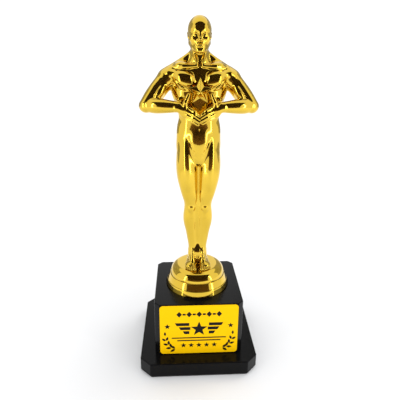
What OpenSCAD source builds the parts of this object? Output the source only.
// Award figure on a stepped dome and a two-tier plinth.
// The origin is the centre of the underside; +Z is up and the figure faces -Y.

/* [Plinth] */
// Width and depth of the lower tier
foot_w = 76; // [68:1:90]
// Height of the lower tier's deck above the table
foot_h = 10; // [9:0.5:14]
// Corner chamfer of the lower tier
foot_chamfer = 6.8; // [4:0.2:9]
// Width and depth of the upper tier
block_w = 57.2; // [54:0.2:60]
// Height of the upper tier
block_h = 37; // [34:0.5:44]
// Corner chamfer of the upper tier
block_chamfer = 3.3; // [2:0.1:4]
// Wall of both plinth mouldings
plinth_wall = 2.2; // [1.8:0.1:2.6]
// Thickness of the foam pad
pad_t = 1; // [0.6:0.2:1.6]

/* [Label] */
// Width of the label
label_w = 50.4; // [40:0.2:50.4]
// Height of the label
label_h = 36; // [20:1:36]
// Thickness of the label
label_t = 0.4; // [0.2:0.1:0.8]
// Corner radius of the label
label_r = 2.2; // [1:0.1:4]

/* [Dome] */
// Largest radius of the dome
dome_r = 21.5; // [20:0.5:24]
// Radius of the dome's flat top
dome_top_r = 12.5; // [11:0.5:13]
// Height of the dome above the plinth
dome_h = 14.6; // [13:0.2:16]

/* [Figure] */
// Height of the figure from its soles to its crown
figure_h = 157.4; // [150:0.2:165]
// Wall of the plated mouldings
figure_wall = 1.6; // [1.2:0.1:1.8]
// Outer radius of the star's points
star_r = 8; // [6:0.5:9]

/* [Hardware] */
// Nominal diameter of the tie rod, its nut and its insert
thread_d = 5; // [5:5]
// Length of the tie rod
rod_len = 60; // [60:1:60]
// Thickness of the steel ballast plate
ballast_t = 5; // [3:0.5:6]

/* [Hidden] */
$fn = 64;

// Levels
block_top = foot_h + block_h;
dome_seat = 0.6;
dome_base = block_top - dome_seat;
sole_z = block_top + dome_h;
deck_t = 2.4;
top_t = 3;

// Clearances and the bolted stack
gap = 0.25;
thread_gap = 0.02;
rod_r = thread_d / 2;
clear_r = rod_r + 0.3;
insert_r = 3.4;
insert_h = 10;
rod_short = 1.2;
rod_tail = 7.6;
rod_top = sole_z + insert_h - rod_short;
rod_base = rod_top - rod_len;
pocket_r = 10.1;
pocket_top = rod_base + rod_tail;
hat_r = pocket_r + deck_t;
hat_top = pocket_top + deck_t;
washer_r = 7.5;
washer_t = 1;
lock_r = 4.6;
lock_t = 1.2;
nut_h = 4;
nut_af = 8;
post_r = 6.5;
peg_r = 1;
peg_y = 6.6;

// Figure sizes are set at a design height and scaled to figure_h
design_h = 157.4;
figure_k = figure_h / design_h;
bead_fn = 18;
hollow_fn = 12;
small_fn = 10;
small_r = 1.3;
thinnest_hollow = 0.6;
boss_r = 2.4;
boss_levels = [80, 116, 148];
parting_y = 0;

// Star
star_z = 115.3;
star_y = -11.4;
star_edge_t = 1.2;
star_ridge_t = 3.4;
star_tilt = 4;
star_valley = 0.46;
star_peg_r = 1.2;
star_peg_len = 3.4;

// Square outline with chamfered corners
module chamfered_square(w, c) {
    h = w / 2;
    polygon([
        [-h + c, -h],
        [h - c, -h],
        [h, -h + c],
        [h, h - c],
        [h - c, h],
        [-h + c, h],
        [-h, h - c],
        [-h, -h + c],
    ]);
}

module chamfered_slab(w, c, z0, z1) {
    translate([0, 0, z0])
        linear_extrude(z1 - z0)
            chamfered_square(w, c);
}

module rod_between(r, z0, z1) {
    translate([0, 0, z0])
        cylinder(h = z1 - z0, r = r);
}

// ---- Plinth ----

module base_pad() {
    inset = 0.6;
    color("#1b1b1b")
        chamfered_slab(foot_w - 2 * inset, foot_chamfer, 0, pad_t);
}

module plinth_foot() {
    inner_w = foot_w - 2 * plinth_wall;
    rib_outer = block_w - 2 * plinth_wall - 2 * gap;
    rib_t = 1.6;
    rib_h = 3;
    color("#262626")
        difference() {
            union() {
                difference() {
                    chamfered_slab(foot_w, foot_chamfer, pad_t, foot_h);
                    chamfered_slab(inner_w, foot_chamfer, pad_t - 1, foot_h - deck_t);
                }
                difference() {
                    chamfered_slab(rib_outer, block_chamfer, foot_h - 0.5, foot_h + rib_h);
                    chamfered_slab(rib_outer - 2 * rib_t, block_chamfer, foot_h - 1, foot_h + rib_h + 1);
                }
                rod_between(hat_r, foot_h - deck_t, hat_top);
            }
            rod_between(pocket_r, foot_h - deck_t - 1, pocket_top);
            rod_between(clear_r, pocket_top - 1, hat_top + 1);
        }
}

module plinth_block() {
    inner_w = block_w - 2 * plinth_wall;
    rib_t = 1.6;
    rib_h = 8;
    underside = block_top - top_t;
    color("#2b2b2b")
        difference() {
            union() {
                difference() {
                    chamfered_slab(block_w, block_chamfer, foot_h, block_top);
                    chamfered_slab(inner_w, block_chamfer - 1, foot_h - 1, underside);
                }
                rod_between(post_r, hat_top, block_top - 1);
                for (turn = [0, 90])
                    rotate([0, 0, turn])
                        translate([-inner_w / 2 - 1, -rib_t / 2, underside - rib_h])
                            cube([inner_w + 2, rib_t, rib_h + 1]);
            }
            rod_between(clear_r, hat_top - 1, block_top + 1);
            rod_between(dome_r + gap, dome_base, block_top + 1);
        }
}

module label() {
    half_w = label_w / 2 - label_r;
    half_h = label_h / 2 - label_r;
    color("#ffd400")
        translate([0, -block_w / 2, foot_h + block_h / 2])
            rotate([90, 0, 0])
                union() {
                    translate([-label_w / 2, -half_h, 0])
                        cube([label_w, 2 * half_h, label_t]);
                    translate([-half_w, -label_h / 2, 0])
                        cube([2 * half_w, label_h, label_t]);
                    for (x = [-half_w, half_w], y = [-half_h, half_h])
                        translate([x, y, 0])
                            cylinder(h = label_t, r = label_r);
                }
}

// ---- Dome ----

// Points of a tier's upper edge, eased by a small round
function tier_edge(r, z) = [
    [r, z - 0.5],
    [r - 0.13, z - 0.18],
    [r - 0.45, z]
];

// Points of the top step: a quarter ellipse from its rim to the flat top
function crown_step(rim_r, top_r, z0, z1, n) = [
    for (i = [0 : n])
        let (a = 90 * i / n)
        [top_r + (rim_r - top_r) * cos(a), z0 + (z1 - z0) * sin(a)]
];

module pedestal_dome() {
    step_h = 4.2;
    groove_h = 0.3;
    groove_d = 0.8;
    r1 = dome_r - 0.9;
    r2 = dome_r - 2.7;
    r3 = dome_r - 3.2;
    z1 = dome_base + step_h;
    z2 = z1 + groove_h;
    z3 = z2 + step_h;
    z4 = z3 + groove_h;
    outline = concat(
        [[0, dome_base]],
        [[dome_r - 0.1, dome_base]],
        tier_edge(r1, z1),
        [[r1 - groove_d, z1 + 0.05], [r1 - groove_d, z2 - 0.05]],
        [[r1 - 0.3, z2]],
        tier_edge(r2, z3),
        [[r2 - groove_d, z3 + 0.05], [r2 - groove_d, z4 - 0.05]],
        crown_step(r3, dome_top_r, z4, sole_z, 10),
        [[0, sole_z]]
    );
    roof_z = sole_z - 2;
    hollow = concat(
        [[0, dome_base - 1], [dome_r - 2.6, dome_base - 1], [dome_r - 3.2, z1]],
        crown_step(r3 - 2, dome_top_r - 2, z4 - 2, roof_z, 6),
        [[0, roof_z]]
    );
    color("#d9a520")
        difference() {
            union() {
                difference() {
                    rotate_extrude()
                        polygon(outline);
                    rotate_extrude()
                        polygon(hollow);
                }
                rod_between(post_r, dome_base, roof_z + 0.5);
            }
            rod_between(clear_r, dome_base - 1, sole_z + 1);
            translate([0, peg_y, roof_z - 1])
                cylinder(h = 4, r = peg_r + 0.1);
        }
}

// ---- Figure ----

// A bead is [centre, radii]. An inset shrinks it, which leaves the wall of the moulding.
module bead(b, inset) {
    r = b[1] - [inset, inset, inset];
    facets = inset > 0 ? hollow_fn : max(r) < small_r ? small_fn : bead_fn;
    if (min(r) > thinnest_hollow)
        translate(b[0])
            scale(r)
                sphere(1, $fn = facets);
}

// Skin over neighbouring beads of a row
module limb(beads, inset) {
    for (i = [0 : len(beads) - 2])
        hull() {
            bead(beads[i], inset);
            bead(beads[i + 1], inset);
        }
}

module both_sides() {
    children();
    mirror([1, 0, 0])
        children();
}

// Rows of beads run upward from the soles, or outward along an arm
torso = [
    [[0, 0.9, 76], [11.5, 8.6, 5]],
    [[0, 0.8, 79.5], [14.4, 9.6, 5]],
    [[0, 0.3, 87], [13.8, 8.8, 4]],
    [[0, -0.1, 96], [12.2, 7.9, 4]],
    [[0, -0.2, 101], [12.3, 8.1, 4]],
    [[0, -0.3, 108], [14.2, 9.2, 4]],
    [[0, -0.4, 114], [16.2, 10.2, 4]],
    [[0, -0.2, 119], [17.6, 10.4, 4]],
    [[0, 0.4, 123.5], [17.4, 8.6, 4]],
    [[0, 1.2, 127.5], [12.4, 6.2, 3]],
    [[0, 1.2, 130.5], [8.2, 5.8, 3]],
    [[0, 0.6, 134.5], [5.7, 5.6, 3]],
    [[0, 0, 141], [5.4, 5.6, 3]],
];

leg = [
    [[6.8, 0.8, 78], [7.6, 8.8, 6]],
    [[6.7, 0.2, 70], [7.3, 8.4, 5]],
    [[6.4, -0.2, 62], [6.8, 7.7, 5]],
    [[5.5, -0.5, 53.5], [5.8, 6.8, 5]],
    [[4.5, -0.5, 43.5], [4.4, 5.3, 4]],
    [[4.6, 1.4, 35], [4.8, 5.7, 4]],
    [[4.2, 1.8, 28], [4.2, 5.0, 4]],
    [[3.5, 1.4, 20], [3.6, 4.0, 4]],
    [[3.1, 1.2, 13], [3.1, 3.7, 4]],
    [[3.3, 1.6, 6], [3.4, 4.5, 3]],
];

sole = [
    [[3.3, 5.0, 2.4], [3.1, 3.4, 2.4]],
    [[3.4, 0.5, 3.6], [2.9, 3.6, 3.6]],
    [[4.0, -5.6, 2.2], [3.5, 3.4, 2.2]],
    [[4.2, -9.6, 1.4], [3.5, 3.0, 1.4]],
];

upper_arm = [
    [[19.2, 0.4, 122.6], [6.0, 6.2, 6.2]],
    [[23.2, -0.8, 117.2], [6.0, 6.0, 6.0]],
    [[27.6, -2.6, 111.6], [5.4, 5.2, 5.4]],
    [[32.2, -4.6, 106.4], [4.5, 4.5, 4.4]],
];

forearm = [
    [[32.2, -4.6, 106.4], [4.5, 4.5, 4.4]],
    [[26.0, -7.4, 106.2], [4.5, 4.2, 4.3]],
    [[18.6, -11.0, 105.8], [3.8, 3.6, 3.7]],
    [[12.0, -13.2, 105.2], [3.0, 2.6, 3.2]],
    [[8.0, -13.8, 103.8], [2.8, 2.6, 4.2]],
];

head = [
    [[0, 0.4, 148.4], [7.1, 8.8, 9.0]],
    [[0, -2.6, 141.6], [5.6, 5.6, 4.8]],
    [[0, -5.6, 138.4], [2.8, 2.6, 2.2]],
];

nose = [
    [[0, -8.0, 147.0], [0.8, 0.8, 0.8]],
    [[0, -9.6, 143.8], [1.2, 1.1, 1.0]],
];

// Slope from the neck to the shoulder
trapezius = [
    [[4.0, 2.0, 136.2], [2.4, 2.6, 2.6]],
    [[10.6, 1.6, 130.2], [3.4, 4.0, 3.4]],
    [[17.6, 0.8, 125.0], [3.8, 4.4, 3.8]],
];

chest = [
    [[4.4, -7.2, 118.6], [4.2, 3.8, 4.6]],
    [[11.4, -5.8, 119.4], [4.8, 3.8, 4.6]],
];

seat = [[5.8, 4.2, 77.5], [7.4, 6.2, 8.4]];

// Everything with a hollow inside
module body_mass(inset) {
    limb(torso, inset);
    limb(head, inset);
    both_sides() {
        limb(leg, inset);
        limb(upper_arm, inset);
        limb(forearm, inset);
        limb(trapezius, inset);
        limb(chest, inset);
        bead(seat, inset);
    }
}

module fingers() {
    finger_r = 1.25;
    spacing = 1.85;
    for (row = [0 : 3]) {
        z = 106 - spacing * row;
        limb([
            [[6.4 + 0.4 * row, -14.9, z], [finger_r, finger_r, finger_r]],
            [[0.8, -16.8, 102 - 0.75 * spacing * row], [finger_r, finger_r, finger_r]],
        ], 0);
    }
}

thumb = [
    [[8.9, -14.0, 105.2], [2.0, 2.0, 2.0]],
    [[8.5, -14.9, 109.4], [1.5, 1.5, 1.5]],
    [[6.7, -14.9, 113.6], [1.1, 1.1, 1.1]],
];

ear = [[7.0, 0.8, 145.6], [0.9, 1.7, 2.7]];
palm = [[7.4, -13.6, 103.4], [4.2, 2.4, 3.9]];

// Small forms that are solid all through
module surface_forms() {
    limb(nose, 0);
    both_sides() {
        limb(sole, 0);
        fingers();
        limb(thumb, 0);
        bead(ear, 0);
        bead(palm, 0);
    }
}

// The ankles and heels are joined by a solid web that holds the insert
module heel_web() {
    limb([
        [[0, 0, 2.5], [5.4, 5.0, 2.5]],
        [[0, 0, 9.5], [4.6, 4.8, 2.5]],
        [[0, 1.2, 15.5], [3.0, 2.6, 2.5]],
    ], 0);
}

module solid_figure() {
    body_mass(0);
    surface_forms();
    heel_web();
}

module hollow() {
    solid_below = 16;
    difference() {
        body_mass(figure_wall);
        translate([-50, -50, 0])
            cube([100, 100, solid_below]);
    }
}

module cross_bosses(r) {
    for (z = boss_levels)
        translate([0, -20, z])
            rotate([-90, 0, 0])
                cylinder(h = 40, r = r, $fn = 24);
}

module locating_pins(r, len) {
    for (z = boss_levels)
        translate([0, parting_y - 1, z])
            rotate([-90, 0, 0])
                cylinder(h = len + 1, r = r, $fn = 24);
}

// One half of the figure moulding; side is -1 for the front and 1 for the back
module figure_half(side) {
    half = 60;
    intersection() {
        difference() {
            solid_figure();
            difference() {
                hollow();
                cross_bosses(boss_r);
            }
        }
        translate([-half, side < 0 ? parting_y - half : parting_y, 0])
            cube([2 * half, half, design_h + 5]);
    }
}

module place_figure() {
    translate([0, 0, sole_z])
        scale(figure_k)
            children();
}

module insert_pocket() {
    cylinder(h = 2 * (insert_h + 0.1), r = insert_r, center = true, $fn = 48);
}

module star_socket() {
    translate([0, star_y + 0.2, star_z])
        rotate([-90, 0, 0])
            translate([0, 0, -8])
                cylinder(h = 8 + star_peg_len, r = star_peg_r + 0.05, $fn = 24);
}

module figure_front_shell() {
    pin_r = 1.2;
    pin_len = 2;
    color("#e0ac28")
        place_figure()
            difference() {
                union() {
                    figure_half(-1);
                    locating_pins(pin_r, pin_len);
                }
                insert_pocket();
                star_socket();
            }
}

module figure_back_shell() {
    socket_r = 1.3;
    socket_len = 2.4;
    color("#e0ac28")
        place_figure()
            union() {
                difference() {
                    figure_half(1);
                    insert_pocket();
                    locating_pins(socket_r, socket_len);
                }
                translate([0, peg_y, -1.4])
                    cylinder(h = 3, r = peg_r, $fn = 24);
            }
}

module held_star() {
    points = 5;
    outline = [
        for (i = [0 : 2 * points - 1])
            let (r = star_r * (i % 2 == 0 ? 1 : star_valley), a = 90 + 180 * i / points)
            [r * cos(a), r * sin(a)]
    ];
    count = len(outline);
    corners = concat(
        [for (p = outline) [p[0], p[1], 0]],
        [for (p = outline) [p[0], p[1], star_edge_t]],
        [[0, 0, star_ridge_t]]
    );
    faces = concat(
        [[for (i = [0 : count - 1]) i]],
        [for (i = [0 : count - 1]) [i, i + count, (i + 1) % count + count, (i + 1) % count]],
        [for (i = [0 : count - 1]) [i + count, 2 * count, (i + 1) % count + count]]
    );
    color("#e8b830")
        place_figure()
            translate([0, star_y, star_z])
                rotate([90 + star_tilt, 0, 0])
                    union() {
                        polyhedron(corners, faces);
                        translate([0, 0, -star_peg_len + 0.5])
                            cylinder(h = star_peg_len, r = star_peg_r, $fn = 24);
                    }
}

// ---- Hardware ----

module figure_insert() {
    groove_d = 0.4;
    grooves = [2.6, 6];
    color("#b5893c")
        translate([0, 0, sole_z])
            difference() {
                cylinder(h = insert_h, r = insert_r - 0.02);
                translate([0, 0, -1])
                    cylinder(h = insert_h + 0.2, r = rod_r + thread_gap);
                for (z = grooves)
                    translate([0, 0, z])
                        difference() {
                            cylinder(h = 1.2, r = insert_r + 1);
                            translate([0, 0, -1])
                                cylinder(h = 4, r = insert_r - groove_d);
                        }
            }
}

module tie_rod() {
    point_h = 0.6;
    color("#c4c7ca")
        union() {
            rod_between(rod_r, rod_base + point_h, rod_top - point_h);
            translate([0, 0, rod_base])
                cylinder(h = point_h, r1 = rod_r - point_h, r2 = rod_r);
            translate([0, 0, rod_top - point_h])
                cylinder(h = point_h, r1 = rod_r, r2 = rod_r - point_h);
        }
}

module ballast_plate() {
    side_room = 2.5;
    plate_w = block_w - 2 * (plinth_wall + side_room);
    color("#70757a")
        difference() {
            chamfered_slab(plate_w, block_chamfer, foot_h, foot_h + ballast_t);
            rod_between(hat_r + gap, foot_h - 1, foot_h + ballast_t + 1);
        }
}

module plain_washer() {
    color("#c4c7ca")
        difference() {
            rod_between(washer_r, pocket_top - washer_t, pocket_top);
            rod_between(rod_r + 0.15, pocket_top - washer_t - 1, pocket_top + 1);
        }
}

module lock_washer() {
    z1 = pocket_top - washer_t;
    slit = 0.9;
    color("#aeb2b6")
        difference() {
            rod_between(lock_r, z1 - lock_t, z1);
            rod_between(rod_r + 0.1, z1 - lock_t - 1, z1 + 1);
            translate([0, -slit / 2, z1 - lock_t - 1])
                cube([6, slit, lock_t + 2]);
        }
}

module hex_nut() {
    z1 = pocket_top - washer_t - lock_t;
    color("#c4c7ca")
        difference() {
            translate([0, 0, z1 - nut_h])
                cylinder(h = nut_h, r = nut_af / 2 / cos(30), $fn = 6);
            rod_between(rod_r + thread_gap, z1 - nut_h - 1, z1 + 1);
        }
}

figure_front_shell();
figure_back_shell();
held_star();
figure_insert();
pedestal_dome();
plinth_block();
plinth_foot();
label();
tie_rod();
ballast_plate();
plain_washer();
lock_washer();
hex_nut();
base_pad();
